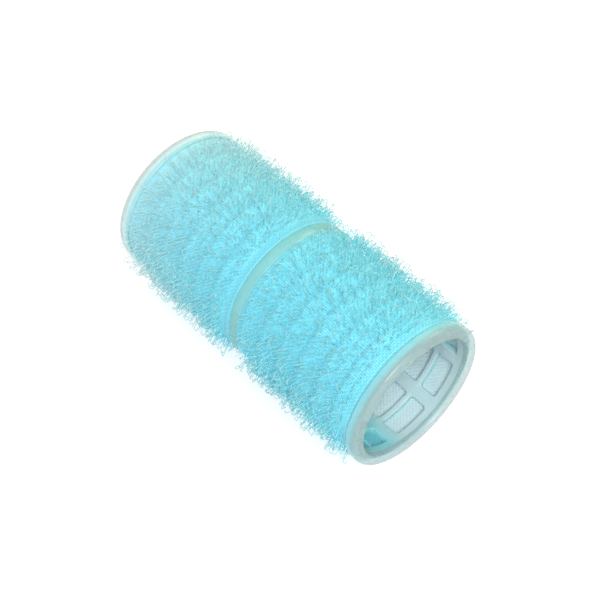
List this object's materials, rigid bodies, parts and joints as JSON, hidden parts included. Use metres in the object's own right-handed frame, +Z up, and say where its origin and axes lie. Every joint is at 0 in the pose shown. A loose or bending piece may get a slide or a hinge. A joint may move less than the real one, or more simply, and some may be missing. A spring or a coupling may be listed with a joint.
{
  "type": "hair roller",
  "caption": "Self-grip hair roller: a moulded openwork cage with a collar round its middle, wrapped in hook tape on each side, with a smooth ring over each open end.",
  "frame": {"origin": "middle of the clear hole through the roller, which is also the middle of its box", "axes": "the roller lies on its side, as it does on a table: +X along its axis, +Z up"},
  "size_m": [0.063, 0.0324, 0.0324],
  "materials": {
    "core_plastic": "natural translucent moulded polypropylene, satin",
    "ring_plastic": "natural translucent moulded polypropylene, smooth",
    "tape_cloth": "light blue woven nylon, back-coated",
    "hook_nylon": "light blue translucent nylon monofilament hooks",
    "seam_nylon": "light blue nylon, melted and set"
  },
  "bodies": {
    "root": {"cage": "core_plastic", "left_end_ring": "ring_plastic", "right_end_ring": "ring_plastic", "left_tape_ground": "tape_cloth", "right_tape_ground": "tape_cloth", "left_tape_hooks": "hook_nylon", "right_tape_hooks": "hook_nylon", "left_tape_seam": "seam_nylon", "right_tape_seam": "seam_nylon"}
  },
  "joints": []
}
